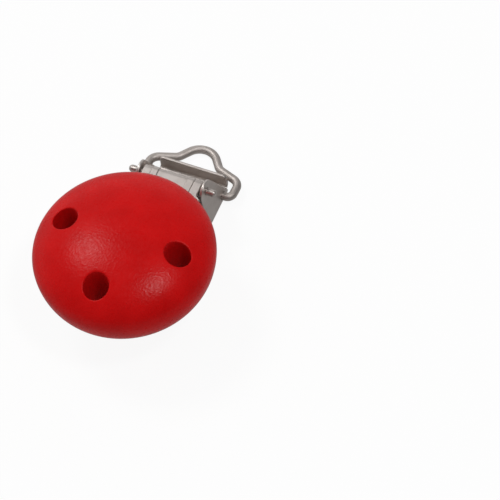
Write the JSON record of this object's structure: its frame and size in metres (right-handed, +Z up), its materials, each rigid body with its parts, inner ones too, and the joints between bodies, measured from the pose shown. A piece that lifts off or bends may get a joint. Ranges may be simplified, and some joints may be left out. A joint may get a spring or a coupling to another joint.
{
  "type": "pacifier clip",
  "caption": "Round red-lacquered wooden button with vent holes on a nickel-plated lever clip, with a spring jaw, a toothed base and a bent-wire strap loop.",
  "frame": {"origin": "on the table under the middle of the closed clip's bounding box", "axes": "+Z up from the table through the button's dome, +Y towards the wire strap loop, X along the hinge pin"},
  "size_m": [0.029, 0.045, 0.0204],
  "materials": {
    "red_lacquered_wood": "opaque red lacquer, satin",
    "nickel_plated_steel": "nickel plated, bright",
    "nickel_plated_spring_steel": "nickel plated, satin",
    "nickel_plated_wire": "nickel plated, bright",
    "natural_nylon": "moulded, off-white",
    "zinc_plated_nail": "zinc plated"
  },
  "bodies": {
    "base": {"base_plate": "nickel_plated_steel", "hinge_pin": "nickel_plated_steel"},
    "lever": {"lever_plate": "nickel_plated_steel", "wood_button": "red_lacquered_wood", "nail_front": "zinc_plated_nail", "nail_rear": "zinc_plated_nail"},
    "jaw": {"spring_tongue": "nickel_plated_spring_steel", "jaw_insert": "natural_nylon"},
    "loop": {"wire_loop": "nickel_plated_wire"}
  },
  "joints": [
    {"name": "lever_hinge", "type": "hinge", "parent": "base", "child": "lever", "pos_m": [0, 0.00986, 0.00875], "axis": [-1, 0, 0], "range_deg": [0, 95]},
    {"name": "tongue_flex", "type": "hinge", "parent": "base", "child": "jaw", "pos_m": [0, 0.01465, 0.0006], "axis": [-1, 0, 0], "range_deg": [0, 9.5]},
    {"name": "loop_swing", "type": "hinge", "parent": "base", "child": "loop", "pos_m": [0, 0.01406, 0.00161], "axis": [1, 0, 0], "range_deg": [-120, 85]}
  ],
  "couplings": [
    {"joint": "tongue_flex", "follows": "lever_hinge", "ratio": 0.1}
  ]
}
